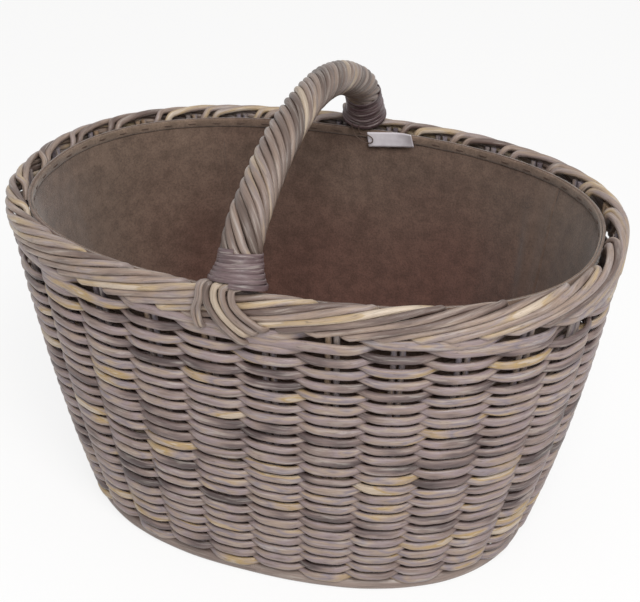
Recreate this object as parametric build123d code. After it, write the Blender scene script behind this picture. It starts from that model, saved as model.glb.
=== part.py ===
"""Oval rattan shopping trug with a felt lining and a fixed bow handle over its short axis.

Millimetres, +Z up. The origin is the middle of the footprint, on the floor.
+X runs along the oval's long axis and the handle stands in the YZ plane.
Every strand that can be told apart is a solid of its own.
"""

import os
from math import atan, ceil, copysign, cos, floor, hypot, pi, radians, sin, sqrt, tan

from build123d import *

# Outline of the wall's middle line at the floor and at the rim
RIM_HALF_LENGTH = 228.0
RIM_HALF_WIDTH = 151.0
RIM_HEIGHT = 262.0
BASE_HALF_LENGTH = 178.0
BASE_HALF_WIDTH = 128.0
RIM_OVAL_POWER = 2.30
BASE_OVAL_POWER = 2.35
BELLY_SHARE = 0.144

# Wall strands
STAKE_COUNT = 28
STAKE_DIAMETER = 4.4
STAKE_PAIR_GAP = 1.4
WEAVER_DIAMETER = 4.4
ROW_GAP = 0.35
TOP_LOOSENESS = 0.05
LOOSENESS_POWER = 6
WALE_ROWS = 2
PLAIN_REPEAT = 2
WALE_REPEAT = 3
ROW_START_STEP = 5
BUTT_GAP = 1.5
STRAND_CLEARANCE = 0.3
STEEPEST_LEAN_DEGREES = 18.0
STAKE_LEVELS = 6

# Foot ring and base mat
FOOT_RING_DIAMETER = 10.0
FOOT_FLAT_DEPTH = 0.5
BASE_STICK_DIAMETER = 4.4
BASE_STICK_PITCH = 30.0
BASE_WEAVER_DIAMETER = 3.4
BASE_WEAVER_GAP = 0.5
BASE_END_RUN = 10.0
BASE_LIFT = 1.6
BASE_SPREAD_SHARE = 0.9

# Rolled border
BORDER_ROD_DIAMETER = 4.5
BORDER_RODS_PER_STAKE = 2
BORDER_ROLL_RADIUS = 5.5
BORDER_ROLL_DROP = 4.0
BORDER_SIDE = 14.0
BORDER_TAIL = 8.0
BORDER_DIVE_ANGLE_DEGREES = 100.0
BORDER_DIVE_SLOPE_DEGREES = 58.0
BORDER_DIVE_GAP = 5.5
BORDER_BEND_RADIUS = 8.0
BORDER_STEP = 10.0
BORDER_ROD_GAP = 0.6
STAKE_TOP_DROP = 5.0

# Bow handle
HANDLE_LEG_RISE = 28.0
HANDLE_LEG_LEAN_DEGREES = 25.0
HANDLE_SHOULDER_INSET = 48.0
HANDLE_SHOULDER_RISE = 54.5
HANDLE_SHOULDER_SLOPE_DEGREES = 27.8
HANDLE_RISE = 79.6
CORE_DIAMETER = 15.6
HANDLE_STRANDS = 10
HANDLE_STRAND_DIAMETER = 4.4
HANDLE_CORE_GAP = 0.5
HANDLE_LAY = 97.0
STRAND_FOOT_RUN = 21.5

# Bindings round the handle's feet
BINDING_ROD_DIAMETER = 2.6
BINDING_PITCH = 3.1
BINDING_TURNS = 7
BINDING_FOOT_RUN = 10.5
BINDING_FLARE = 5.5
BINDING_LIFT = 1.2
LEAST_TURN_GAP = 0.4

# Strand tails that come out below the bindings
TAIL_DIAMETER = 4.4
TAIL_START_RUN = 16.5
TAIL_UNDER_RUN = 9.5
TAIL_UNDER_CLEARANCE = 0.8
TAIL_OVER_RUN_SHARE = 0.95
TAIL_OVER_HEIGHT_SHARE = 0.38
TAIL_OVER_CLEARANCE = 1.0
BEND_SHARE = 0.45

# Felt lining
FELT_THICKNESS = 2.0
LINING_STAND_OFF = 10.2
LINING_TOP_DROP = 7.5
LINING_LEVELS = 6
SEAM_TURNS_DEGREES = [40.0, 120.0, 220.0, 300.0]
SEAM_GAP = 0.3
SEAM_CUT_REACH = 60.0
HEM_HEIGHT = 9.0
HEM_THICKNESS = 1.6
STITCH_DIAMETER = 1.0
STITCH_LENGTH = 7.0
STITCHES_PER_STAKE = 2
CUT_OVERRUN = 2.0

# Swing tag and its thread
TAG_LENGTH = 40.0
TAG_WIDTH = 13.0
TAG_THICKNESS = 0.8
TAG_TILT_DEGREES = 8.0
TAG_START = 6.0
TAG_DROP = 10.5
TAG_STAND_OFF = 2.4
THREAD_DIAMETER = 0.9
THREAD_ROUTE = [
    (-7.72, 133.21, 265.88),
    (-8.56, 133.77, 260.27),
    (-5.0, 133.2, 254.8),
    (0.6, 132.6, 251.4),
    (6.0, 132.4, 249.8),
    (10.6, 132.4, 251.2),
    (10.2, 132.5, 255.4),
    (5.4, 132.6, 257.4),
    (0.6, 132.5, 257.8),
    (-2.2, 132.44, 259.54),
    (-1.87, 132.13, 265.22),
]

# Steps for measuring curves and for the arcs along them
OUTLINE_STEPS = 720
QUARTERS = 4
GAP_STEPS = 24
TINY_SHARE = 1e-4

parts = {}


def signed_power(value, power):
    return copysign(abs(value) ** power, value)


def section(height):
    """Half length, half width and oval power of the wall's middle line at a height."""
    share = height / RIM_HEIGHT
    spread = share + BELLY_SHARE * 4 * share * (1 - share)
    half_length = BASE_HALF_LENGTH + (RIM_HALF_LENGTH - BASE_HALF_LENGTH) * spread
    half_width = BASE_HALF_WIDTH + (RIM_HALF_WIDTH - BASE_HALF_WIDTH) * spread
    power = BASE_OVAL_POWER + (RIM_OVAL_POWER - BASE_OVAL_POWER) * share
    return half_length, half_width, power


def wall_place(turn, height, outward=0.0):
    """Point and level direction on the wall at an angle, set off along its level normal."""
    half_length, half_width, power = section(height)
    x = half_length * signed_power(cos(turn), 2 / power)
    y = half_width * signed_power(sin(turn), 2 / power)
    normal_x = signed_power(x / half_length, power - 1) / half_length
    normal_y = signed_power(y / half_width, power - 1) / half_width
    size = hypot(normal_x, normal_y)
    normal_x, normal_y = normal_x / size, normal_y / size
    point = Vector(x + outward * normal_x, y + outward * normal_y, height)
    return point, Vector(-normal_y, normal_x, 0)


def measure_rim():
    """Angle and run of small steps round the rim, from the middle of the -Y side."""
    table = [(-pi / 2, 0.0)]
    last = wall_place(-pi / 2, RIM_HEIGHT)[0]
    for step in range(1, OUTLINE_STEPS + 1):
        turn = -pi / 2 + 2 * pi * step / OUTLINE_STEPS
        point = wall_place(turn, RIM_HEIGHT)[0]
        table.append((turn, table[-1][1] + (point - last).length))
        last = point
    return table


rim_table = measure_rim()
rim_length = rim_table[-1][1]
stake_spacing = rim_length / STAKE_COUNT


def turn_at(run):
    """Angle at a run along the rim, counted from the -Y side towards +X."""
    laps = floor(run / rim_length)
    rest = run - laps * rim_length
    low, high = 0, OUTLINE_STEPS
    while high - low > 1:
        middle = (low + high) // 2
        if rim_table[middle][1] <= rest:
            low = middle
        else:
            high = middle
    (turn_a, run_a), (turn_b, run_b) = rim_table[low], rim_table[high]
    return turn_a + (turn_b - turn_a) * (rest - run_a) / (run_b - run_a) + 2 * pi * laps


def stake_run(number):
    return (number + 0.5) * stake_spacing


def joint_point(start, way_out, end, way_in):
    """Where the two arcs between two directed points meet."""
    chord = end - start
    both = way_out + way_in
    spread = 2 * (1 - way_out.dot(way_in))
    along = chord.dot(both)
    if spread < TINY_SHARE**2:
        reach = chord.dot(chord) / (2 * along)
    else:
        reach = (sqrt(along * along + spread * chord.dot(chord)) - along) / spread
    return (start + way_out * reach + end - way_in * reach) * 0.5


def smooth_wire(points, ways, closed=False):
    """A wire of tangent arcs, two between each point and the next."""
    ways = [way.normalized() for way in ways]
    edges = []
    for index in range(len(points) if closed else len(points) - 1):
        after = (index + 1) % len(points)
        middle = joint_point(points[index], ways[index], points[after], ways[after])
        first = Edge.make_tangent_arc(points[index], ways[index], middle)
        edges += [first, Edge.make_tangent_arc(middle, first % 1, points[after])]
    return Wire(edges)


def swept(wire, diameter):
    face = Plane(origin=wire @ 0, z_dir=wire % 0) * Circle(diameter / 2)
    return sweep(face, path=wire)


def rod(points, ways, diameter, closed=False):
    """A round strand along tangent arcs."""
    return swept(smooth_wire(points, ways, closed), diameter)


def routed_rod(points, diameter):
    """A round strand along hand-chosen points, each corner bent as wide as its runs allow."""
    radii = []
    for before, corner, after in zip(points, points[1:], points[2:]):
        half_turn = radians((corner - before).get_angle(after - corner)) / 2
        shorter = min((corner - before).length, (after - corner).length)
        radii.append(BEND_SHARE * shorter / tan(half_turn))
    return swept(FilletPolyline(*points, radius=radii), diameter), radii


def keep(name, *solids):
    """Store one named sub-part."""
    children = [solid for item in solids for solid in item.solids()]
    parts[name] = Compound(label=name, children=children)


# Foot ring: one thick cane bent round the bottom edge, flat where it stands
foot_radius = FOOT_RING_DIAMETER / 2
foot_height = foot_radius - FOOT_FLAT_DEPTH
foot_top = foot_height + foot_radius
foot_places = [
    wall_place(turn_at(stake_run(number)), foot_height) for number in range(STAKE_COUNT)
]
foot_ring = rod(
    [point for point, _ in foot_places], [way for _, way in foot_places], FOOT_RING_DIAMETER, True
)
below_floor = Box(
    3 * RIM_HALF_LENGTH,
    3 * RIM_HALF_WIDTH,
    FOOT_RING_DIAMETER,
    align=(Align.CENTER, Align.CENTER, Align.MAX),
)
keep("foot_ring", foot_ring - below_floor)

# Base mat: sticks across the short way and thin rods woven through them the long way
base_swing = (BASE_STICK_DIAMETER + BASE_WEAVER_DIAMETER) / 2 + STRAND_CLEARANCE
base_height = BASE_LIFT + base_swing + BASE_WEAVER_DIAMETER / 2
base_top = base_height + base_swing + BASE_WEAVER_DIAMETER / 2
base_half_length, base_half_width, base_power = section(foot_height)
base_edge = foot_radius + STRAND_CLEARANCE


def base_reach(across, own_half, other_half):
    """Half the room inside the foot ring along one axis, at a place on the other."""
    share = abs(across) / (other_half - base_edge)
    return (own_half - base_edge) * (1 - share**base_power) ** (1 / base_power)


half_stick_count = floor(BASE_SPREAD_SHARE * base_half_length / BASE_STICK_PITCH)
stick_places = [
    number * BASE_STICK_PITCH for number in range(-half_stick_count, half_stick_count + 1)
]
base_sticks = []
for x in stick_places:
    half = base_reach(abs(x) + BASE_STICK_DIAMETER / 2, base_half_width, base_half_length)
    line = Edge.make_line((x, -half, base_height), (x, half, base_height))
    base_sticks.append(swept(Wire([line]), BASE_STICK_DIAMETER))
keep("base_sticks", *base_sticks)

base_pitch = BASE_WEAVER_DIAMETER + BASE_WEAVER_GAP
half_base_rows = floor(BASE_SPREAD_SHARE * base_half_width / base_pitch)
stick_edge = BASE_STICK_DIAMETER / 2 + STRAND_CLEARANCE
base_weavers = []
for row in range(-half_base_rows, half_base_rows + 1):
    y = row * base_pitch
    half = base_reach(abs(y) + BASE_WEAVER_DIAMETER / 2, base_half_length, base_half_width)
    for x in stick_places:
        if half - BASE_END_RUN <= x < half + stick_edge:
            half = x - stick_edge
    points = [Vector(-half, y, base_height)]
    for number, x in enumerate(stick_places):
        if abs(x) < half:
            side = 1 if (number + row) % 2 else -1
            points.append(Vector(x, y, base_height + side * base_swing))
    points.append(Vector(half, y, base_height))
    base_weavers.append(rod(points, [Vector(1, 0, 0)] * len(points), BASE_WEAVER_DIAMETER))
keep("base_weavers", *base_weavers)

# Border levels, which the wall strands run up to
roll_height = RIM_HEIGHT - BORDER_ROLL_DROP
border_radius = BORDER_ROD_DIAMETER / 2
border_top = roll_height + BORDER_ROLL_RADIUS + border_radius
border_bottom = roll_height - BORDER_SIDE - border_radius
border_face = BORDER_ROLL_RADIUS + border_radius

# Stakes: pairs of rods that stand on the foot ring and end inside the rolled border
stake_bottom = foot_top + STRAND_CLEARANCE
stake_top = roll_height + BORDER_ROLL_RADIUS - STAKE_TOP_DROP
stakes = []
for number in range(STAKE_COUNT):
    for side in (-1, 1):
        shift = side * (STAKE_DIAMETER + STAKE_PAIR_GAP) / 2
        places, ways = [], []
        for level in range(STAKE_LEVELS):
            height = stake_bottom + (stake_top - stake_bottom) * level / (STAKE_LEVELS - 1)
            step = RIM_HEIGHT * TINY_SHARE
            point, along = wall_place(turn_at(stake_run(number)), height)
            above, _ = wall_place(turn_at(stake_run(number)), height + step)
            places.append(point + along * shift)
            ways.append(above - point)
        stakes.append(rod(places, ways, STAKE_DIAMETER))
keep("stakes", *stakes)

# Wall weaving: each row goes in front of one stake and behind the next, its ends butted inside
weaver_radius = WEAVER_DIAMETER / 2
first_row = foot_top + STRAND_CLEARANCE + weaver_radius
last_row = border_bottom - STRAND_CLEARANCE - weaver_radius
row_count = floor((last_row - first_row) / (WEAVER_DIAMETER + ROW_GAP)) + 1
weave_swing = (STAKE_DIAMETER + WEAVER_DIAMETER) / 2 / cos(radians(STEEPEST_LEAN_DEGREES))
weave_swing += STRAND_CLEARANCE


def row_height(row):
    """Rows lie close at the foot and get looser just below the border."""
    share = row / (row_count - 1)
    share = (1 - TOP_LOOSENESS) * share + TOP_LOOSENESS * share**LOOSENESS_POWER
    return first_row + (last_row - first_row) * share


def woven_row(row, repeat):
    """One weaver that goes behind one stake in every so many, and in front of the rest."""
    height = row_height(row)
    first_stake = ROW_START_STEP * row
    start = next(
        number for number in range(first_stake, first_stake + STAKE_COUNT)
        if (number % STAKE_COUNT + row) % repeat == 0
    )
    points, ways = [], []
    for number in range(start, start + STAKE_COUNT + 1):
        behind = (number % STAKE_COUNT + row) % repeat == 0
        run = stake_run(number)
        if number == start:
            run += BUTT_GAP / 2
        if number == start + STAKE_COUNT:
            run -= BUTT_GAP / 2
        point, way = wall_place(turn_at(run), height, -weave_swing if behind else weave_swing)
        points.append(point)
        ways.append(way)
    return rod(points, ways, WEAVER_DIAMETER)


plain_rows = row_count - WALE_ROWS
for first in range(0, plain_rows, 2):
    pair = [woven_row(row, PLAIN_REPEAT) for row in range(first, min(first + 2, plain_rows))]
    keep(f"weave_round_{first // 2 + 1:02d}", *pair)
keep("upper_wale", *[woven_row(row, WALE_REPEAT) for row in range(plain_rows, row_count)])

# Rolled border: rods that climb the outside at a low slant, roll over the rim and dive behind it
# The two rods of a pair dive side by side, so the one that reaches the top first runs on along it.
border_length = BORDER_SIDE + pi * BORDER_ROLL_RADIUS + BORDER_TAIL
border_climb = BORDER_RODS_PER_STAKE * (BORDER_ROD_DIAMETER + BORDER_ROD_GAP)
climb_slope = atan(border_climb / stake_spacing)
dive_slope = radians(BORDER_DIVE_SLOPE_DEGREES)
late_dive = BORDER_SIDE + radians(BORDER_DIVE_ANGLE_DEGREES) * BORDER_ROLL_RADIUS
early_rod_run = stake_spacing / BORDER_RODS_PER_STAKE - BORDER_DIVE_GAP
dives = [late_dive + early_rod_run * tan(climb_slope), late_dive]
bend_turn = dive_slope - climb_slope
bend_reach = BORDER_BEND_RADIUS * tan(bend_turn / 2)


def border_path(length, dive):
    """Run along the rim and climb round the roll of a border rod, at a length along it."""
    climbing = dive / sin(climb_slope) - bend_reach
    bending = BORDER_BEND_RADIUS * bend_turn
    run = min(length, climbing) * cos(climb_slope)
    climbed = min(length, climbing) * sin(climb_slope)
    if length > climbing:
        turned = min(length - climbing, bending) / BORDER_BEND_RADIUS
        run += BORDER_BEND_RADIUS * (sin(climb_slope + turned) - sin(climb_slope))
        climbed += BORDER_BEND_RADIUS * (cos(climb_slope) - cos(climb_slope + turned))
    if length > climbing + bending:
        run += (length - climbing - bending) * cos(dive_slope)
        climbed += (length - climbing - bending) * sin(dive_slope)
    return run, climbed


def border_place(start_run, length, dive):
    """Point of one border rod at a length along it."""
    run, climbed = border_path(length, dive)
    over = climbed - BORDER_SIDE
    if over < 0:
        outward, height = BORDER_ROLL_RADIUS, roll_height + over
    elif over < pi * BORDER_ROLL_RADIUS:
        angle = over / BORDER_ROLL_RADIUS
        outward = BORDER_ROLL_RADIUS * cos(angle)
        height = roll_height + BORDER_ROLL_RADIUS * sin(angle)
    else:
        outward, height = -BORDER_ROLL_RADIUS, roll_height + pi * BORDER_ROLL_RADIUS - over
    return wall_place(turn_at(start_run + run), height, outward)[0]


border_rods = []
for number in range(STAKE_COUNT * BORDER_RODS_PER_STAKE):
    start_run = (number + 0.5) * stake_spacing / BORDER_RODS_PER_STAKE
    dive = dives[number % BORDER_RODS_PER_STAKE]
    climbing = dive / sin(climb_slope) - bend_reach
    bending = BORDER_BEND_RADIUS * bend_turn
    bend_climb = BORDER_BEND_RADIUS * (cos(climb_slope) - cos(dive_slope))
    diving = (border_length - climbing * sin(climb_slope) - bend_climb) / sin(dive_slope)
    rod_length = climbing + bending + diving
    steps = ceil(rod_length / BORDER_STEP)
    points, ways = [], []
    for step in range(steps + 1):
        length = rod_length * step / steps
        nudge = border_length * TINY_SHARE
        points.append(border_place(start_run, length, dive))
        ways.append(
            border_place(start_run, length + nudge, dive)
            - border_place(start_run, length - nudge, dive)
        )
    border_rods.append(rod(points, ways, BORDER_ROD_DIAMETER))
keep("border_rods", *border_rods)

# Handle bow: two leaning legs on the rim joined by one arch
leg_start = Vector(0, -RIM_HALF_WIDTH, RIM_HEIGHT)
leg_lean = radians(HANDLE_LEG_LEAN_DEGREES)
leg_way = Vector(0, sin(leg_lean), cos(leg_lean))
leg_length = HANDLE_LEG_RISE / cos(leg_lean)
leg_end = leg_start + leg_way * leg_length
shoulder_slope = radians(HANDLE_SHOULDER_SLOPE_DEGREES)
shoulder = Vector(0, HANDLE_SHOULDER_INSET - RIM_HALF_WIDTH, RIM_HEIGHT + HANDLE_SHOULDER_RISE)
shoulder_way = Vector(0, cos(shoulder_slope), sin(shoulder_slope))
apex = Vector(0, 0, RIM_HEIGHT + HANDLE_RISE)


def across(vector, sign=1):
    """The same vector on the other side of the basket."""
    return Vector(vector.X, -vector.Y * sign, vector.Z * sign)


arch = smooth_wire(
    [leg_end, shoulder, apex, across(shoulder), across(leg_end)],
    [leg_way, shoulder_way, Vector(0, 1, 0), across(shoulder_way, -1), across(leg_way, -1)],
)
bow = Wire(
    [Edge.make_line(leg_start, leg_end), *arch.edges(), Edge.make_line(across(leg_end), across(leg_start))]
)
bow_length = bow.length


def bow_place(run):
    """Point, outward direction and forward direction on the bow at a run from the front foot."""
    point = bow.position_at(run / bow_length)
    way = bow.tangent_at(run / bow_length)
    return point, Vector(0, -way.Z, way.Y), way


def on_bow(run, angle, side_radius, out_radius):
    """A point beside the bow, its angle counted from the outside towards +X."""
    point, outward, _ = bow_place(run)
    return point + outward * (out_radius * cos(angle)) + Vector(side_radius * sin(angle), 0, 0)


# Handle core: the bent cane inside, from one side of the rim to the other
core_start = (border_top + STRAND_CLEARANCE - RIM_HEIGHT) / cos(leg_lean)
core_start += CORE_DIAMETER / 2 * tan(leg_lean)
core_foot = leg_start + leg_way * core_start
core_path = Wire(
    [Edge.make_line(core_foot, leg_end), *arch.edges(), Edge.make_line(across(leg_end), across(core_foot))]
)
keep("handle_core", swept(core_path, CORE_DIAMETER))

# Handle strands: split canes laid side by side round the core in a long twist
strand_ring = CORE_DIAMETER / 2 + HANDLE_CORE_GAP + HANDLE_STRAND_DIAMETER / 2
strand_run = bow_length - 2 * STRAND_FOOT_RUN
strand_steps = ceil(strand_run / HANDLE_LAY * QUARTERS)


def strand_place(run, start_angle):
    return on_bow(run, start_angle - 2 * pi * run / HANDLE_LAY, strand_ring, strand_ring)


for number in range(HANDLE_STRANDS):
    start_angle = 2 * pi * number / HANDLE_STRANDS
    points, ways = [], []
    for step in range(strand_steps + 1):
        run = STRAND_FOOT_RUN + strand_run * step / strand_steps
        nudge = HANDLE_LAY * TINY_SHARE
        points.append(strand_place(run, start_angle))
        ways.append(strand_place(run + nudge, start_angle) - strand_place(run - nudge, start_angle))
    keep(f"handle_strand_{number + 1}", rod(points, ways, HANDLE_STRAND_DIAMETER))

# Foot bindings: split cane wound round the handle's feet, spread where the tails come out
binding_ring = strand_ring + (HANDLE_STRAND_DIAMETER + BINDING_ROD_DIAMETER) / 2 + STRAND_CLEARANCE


def binding_place(turns):
    spread = (1 - turns / BINDING_TURNS) ** 2
    run = BINDING_FOOT_RUN + BINDING_PITCH * turns
    side_radius = binding_ring + BINDING_FLARE * spread
    return on_bow(run, 2 * pi * turns, side_radius, binding_ring + BINDING_LIFT * spread)


binding_steps = BINDING_TURNS * QUARTERS
binding_points = [binding_place(step / QUARTERS) for step in range(binding_steps + 1)]
binding_ways = [
    binding_place(step / QUARTERS + TINY_SHARE) - binding_place(step / QUARTERS - TINY_SHARE)
    for step in range(binding_steps + 1)
]
front_binding = rod(binding_points, binding_ways, BINDING_ROD_DIAMETER)
keep("front_binding", front_binding)
keep("back_binding", front_binding.mirror(Plane.XZ))

samples = [binding_place(step / GAP_STEPS) for step in range(BINDING_TURNS * GAP_STEPS + 1)]
turn_gap = min(
    (other - point).length - BINDING_ROD_DIAMETER
    for index, point in enumerate(samples)
    for other in samples[index + GAP_STEPS // 2 :]
)
print("binding: least gap between turns", round(turn_gap, 2), "mm, over", LEAST_TURN_GAP)

# Tails: the strands' ends, laid over the border and tucked into the wall
# Each has its angle round the core, its places beside the bow and its places on the wall.
# A place is a run along the rim, as a share of the stake spacing, and a height, as a share
# of the border's height above its lower edge.
tail_radius = TAIL_DIAMETER / 2
tail_stand_off = border_face + STRAND_CLEARANCE + tail_radius
TAIL_SHARES = [
    (-0.15, 0.62, [(-0.31, 0.84), (-0.21, 0.42), (-0.02, 0.0), (0.25, -0.38)]),
    (-0.06, 0.80, [(-0.17, 0.84), (-0.06, 0.42), (0.14, 0.08), (0.35, -0.14)]),
    (0.04, 0.85, [(-0.03, 0.84), (0.08, 0.46), (0.27, 0.20), (0.48, 0.03)]),
    (0.15, 0.75, [(0.11, 0.84), (0.22, 0.56), (0.41, 0.36), (0.62, 0.20)]),
    (-0.25, 0.50, [(-0.49, 0.84), (-0.585, 0.40), (-0.55, -0.07)]),
]


def rim_place(run_share, height_share, outward):
    height = border_bottom + (border_top - border_bottom) * height_share
    return wall_place(turn_at(run_share * stake_spacing), height, outward)[0]


def outer_tail(angle_share, out_share, wall_places):
    """One tail, from under the binding, over the border and down its outer face."""
    ring = strand_ring + STRAND_CLEARANCE
    top = on_bow(TAIL_START_RUN, 2 * pi * angle_share, ring, ring)
    ring += TAIL_UNDER_CLEARANCE
    under = on_bow(TAIL_UNDER_RUN, 2 * pi * angle_share, ring, ring)
    first_run, first_height = wall_places[0]
    over_off = tail_stand_off * out_share + TAIL_OVER_CLEARANCE
    over = rim_place(
        first_run * TAIL_OVER_RUN_SHARE, first_height + TAIL_OVER_HEIGHT_SHARE, over_off
    )
    down = [rim_place(run, height, tail_stand_off) for run, height in wall_places]
    return [top, under, over, *down]


all_radii = []
front_tails = []
for angle_share, out_share, wall_places in TAIL_SHARES:
    tail, radii = routed_rod(outer_tail(angle_share, out_share, wall_places), TAIL_DIAMETER)
    all_radii += radii
    front_tails.append(tail)
keep("front_tails", *front_tails)
keep("back_tails", *[tail.mirror(Plane.XZ) for tail in front_tails])
print("tails: tightest bend", round(min(all_radii), 1), "mm")

# Felt lining: four wall panels that meet at sewn seams, a floor pad and a folded hem
lining_bottom = base_top + STRAND_CLEARANCE
lining_top = RIM_HEIGHT - LINING_TOP_DROP


def oval_face(height, outward):
    places = [wall_place(turn_at(number * stake_spacing), height, outward) for number in range(STAKE_COUNT)]
    return Face(smooth_wire([point for point, _ in places], [way for _, way in places], True))


def oval_band(bottom, top, outward, thickness, levels):
    """A band that follows the wall between two heights, its outer face at a set-off."""
    heights = [bottom + (top - bottom) * level / (levels - 1) for level in range(levels)]
    outer = loft([oval_face(height, outward) for height in heights])
    heights[0] -= CUT_OVERRUN
    heights[-1] += CUT_OVERRUN
    return outer - loft([oval_face(height, outward - thickness) for height in heights])


lining_wall = oval_band(
    lining_bottom, lining_top, -LINING_STAND_OFF, FELT_THICKNESS, LINING_LEVELS
)
for seam in SEAM_TURNS_DEGREES:
    middle, way = wall_place(radians(seam), RIM_HEIGHT / 2, -LINING_STAND_OFF)
    outward = way.cross(Vector(0, 0, 1))
    cutter = Box(SEAM_CUT_REACH, SEAM_GAP, 2 * RIM_HEIGHT)
    lining_wall -= Plane(origin=middle, x_dir=outward, z_dir=(0, 0, 1)) * cutter
keep("lining_wall", lining_wall)
felt_face = LINING_STAND_OFF + FELT_THICKNESS + STRAND_CLEARANCE
keep("lining_floor", extrude(oval_face(lining_bottom, -felt_face), FELT_THICKNESS))
keep("lining_hem", oval_band(lining_top - HEM_HEIGHT, lining_top, -felt_face, HEM_THICKNESS, 2))

# Hem stitches: short bars of thread on the hem's face
stitch_off = felt_face + HEM_THICKNESS + STRAND_CLEARANCE + STITCH_DIAMETER / 2
stitch_height = lining_top - HEM_HEIGHT / 2
stitches = []
for number in range(STAKE_COUNT * STITCHES_PER_STAKE):
    run = number * stake_spacing / STITCHES_PER_STAKE
    middle, way = wall_place(turn_at(run), stitch_height, -stitch_off)
    half = way * (STITCH_LENGTH / 2)
    stitches.append(swept(Wire([Edge.make_line(middle - half, middle + half)]), STITCH_DIAMETER))
keep("hem_stitches", *stitches)

# Swing tag: a blank paper card against the hem, held by a thread from the back binding
tag_off = felt_face + HEM_THICKNESS + TAG_STAND_OFF + TAG_THICKNESS / 2
tag_height = border_top - TAG_DROP
tag_run = rim_length / 2 - TAG_START - TAG_LENGTH / 2
tag_middle, tag_back_way = wall_place(turn_at(tag_run), tag_height, -tag_off)
tag_plane = Plane(origin=tag_middle, x_dir=-tag_back_way, z_dir=Vector(0, 0, 1).cross(tag_back_way))
tag = tag_plane * Rot(0, 0, TAG_TILT_DEGREES) * Box(TAG_LENGTH, TAG_WIDTH, TAG_THICKNESS)
keep("tag_card", tag)
thread, thread_radii = routed_rod([Vector(*place) for place in THREAD_ROUTE], THREAD_DIAMETER)
keep("tag_thread", thread)
print("thread: bends", [round(radius, 1) for radius in thread_radii], "mm")

for name, shape in parts.items():
    print(name, len(shape.solids()), round(shape.volume))

os.makedirs("parts", exist_ok=True)
for name, shape in parts.items():
    export_step(shape, f"parts/{name}.step")
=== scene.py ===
"""An oval cane basket with a felt lining, a twisted bow handle and a paper tag, dressed for its photo."""

from math import atan, copysign, cos, floor, hypot, pi, radians, sin, tan
from random import Random

import bmesh
import bpy
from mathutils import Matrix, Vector, geometry, noise


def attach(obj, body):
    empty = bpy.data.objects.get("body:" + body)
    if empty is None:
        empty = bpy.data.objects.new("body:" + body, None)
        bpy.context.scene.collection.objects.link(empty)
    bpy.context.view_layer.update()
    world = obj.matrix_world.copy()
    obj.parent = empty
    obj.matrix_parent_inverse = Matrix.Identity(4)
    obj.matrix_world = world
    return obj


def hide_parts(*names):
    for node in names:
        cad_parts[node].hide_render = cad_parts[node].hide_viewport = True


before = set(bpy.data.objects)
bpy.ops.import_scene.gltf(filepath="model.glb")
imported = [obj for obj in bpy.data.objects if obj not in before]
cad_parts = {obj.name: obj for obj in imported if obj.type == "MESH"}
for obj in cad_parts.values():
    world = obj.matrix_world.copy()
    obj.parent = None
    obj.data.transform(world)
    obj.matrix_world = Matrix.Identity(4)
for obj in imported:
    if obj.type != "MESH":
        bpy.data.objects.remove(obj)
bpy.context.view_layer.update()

scene = bpy.context.scene


# Camera: aimed at the basket's middle, a little to the right of the handle's
# plane and looking down into the lining, as the photograph was taken.
camera_side, camera_rise = radians(18.412), radians(31.266)
camera_target, camera_distance = Vector((0.00798, 0.0, 0.1719)), 1.0032
camera_back = Vector((
    sin(camera_side) * cos(camera_rise),
    -cos(camera_side) * cos(camera_rise),
    sin(camera_rise),
))
camera = bpy.data.objects.new("camera", bpy.data.cameras.new("camera"))
scene.collection.objects.link(camera)
camera.data.sensor_width = 36.0
camera.data.lens = 71.84
camera.data.clip_start, camera.data.clip_end = 0.01, 100.0
camera.location = camera_target + camera_back * camera_distance
camera.rotation_mode = "QUATERNION"
camera.rotation_quaternion = (-camera_back).to_track_quat("-Z", "Y")
scene.camera = camera
scene.view_settings.view_transform = "Standard"


# Floor and light: a white studio floor under an even white sky, with one wide
# soft lamp over the viewer's right shoulder. The floor's own glow stops under
# the basket, so that no light shows between its lowest rows.
sky_level, lamp_level, floor_level = 0.60, 38.0, 0.80
lamp_wide, lamp_place, lamp_target = 1.2, Vector((0.80, -1.25, 1.85)), Vector((0.0, 0.0, 0.12))
floor_half, floor_tone = 12.0, 0.92
dark_half_length, dark_half_width = 0.174, 0.124


def add_node(tree, kind, inputs=None, **settings):
    """Adds a shader node. Each of its inputs is given as a value or as another node's output."""
    node = tree.nodes.new("ShaderNode" + kind)
    for name, setting in settings.items():
        setattr(node, name, setting)
    for socket, value in (inputs or {}).items():
        if isinstance(value, bpy.types.NodeSocket):
            tree.links.new(value, node.inputs[socket])
        else:
            node.inputs[socket].default_value = value
    return node


def maths(tree, operation, first, second, clamp=False):
    """The outcome of one sum on two numbers or outputs."""
    node = add_node(tree, "Math", {0: first, 1: second}, operation=operation, use_clamp=clamp)
    return node.outputs[0]


def seen_straight(tree):
    """One for rays that come straight, or by gloss or glass, from the camera."""
    rays = add_node(tree, "LightPath").outputs
    either = maths(tree, "MAXIMUM", rays["Is Camera Ray"], rays["Is Glossy Ray"])
    return maths(tree, "MAXIMUM", either, rays["Is Transmission Ray"])


sky = bpy.data.worlds.new("studio_sky")
sky.use_nodes = True
sky_tree = sky.node_tree
sky_tree.nodes.clear()
sky_seen = add_node(sky_tree, "Background", {"Color": (1.0, 1.0, 1.0, 1.0), "Strength": 1.0})
sky_light = add_node(sky_tree, "Background", {"Color": (1.0, 0.99, 0.98, 1.0), "Strength": sky_level})
sky_mix = add_node(sky_tree, "MixShader", {
    0: seen_straight(sky_tree), 1: sky_light.outputs[0], 2: sky_seen.outputs[0],
})
add_node(sky_tree, "OutputWorld", {"Surface": sky_mix.outputs[0]})
scene.world = sky

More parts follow.
